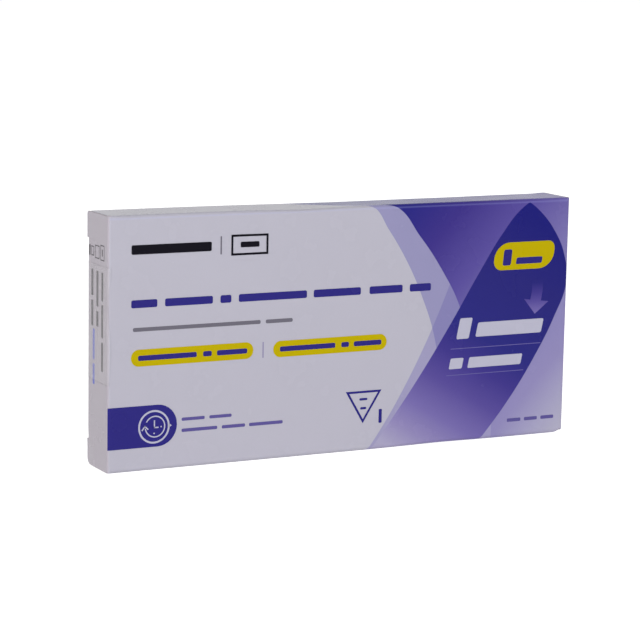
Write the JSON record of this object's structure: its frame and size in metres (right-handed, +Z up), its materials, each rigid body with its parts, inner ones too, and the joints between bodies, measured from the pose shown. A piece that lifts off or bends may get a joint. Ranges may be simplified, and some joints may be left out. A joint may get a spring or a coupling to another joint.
{
  "type": "test kit carton",
  "caption": "Sealed folding carton of a rapid test kit: flat printed paperboard box with tuck ends, standing on its long narrow side, with a clear film seal over one end.",
  "frame": {"origin": "middle of the footprint, in the plane that the carton stands on", "axes": "+Z up; the front panel faces -Y; the sealed end faces -X"},
  "size_m": [0.1681, 0.0172, 0.081],
  "materials": {
    "carton": "coated white board with satin varnish",
    "seal_film": "clear gloss"
  },
  "bodies": {
    "root": {"carton": "carton", "seal_film": "seal_film"}
  },
  "joints": []
}
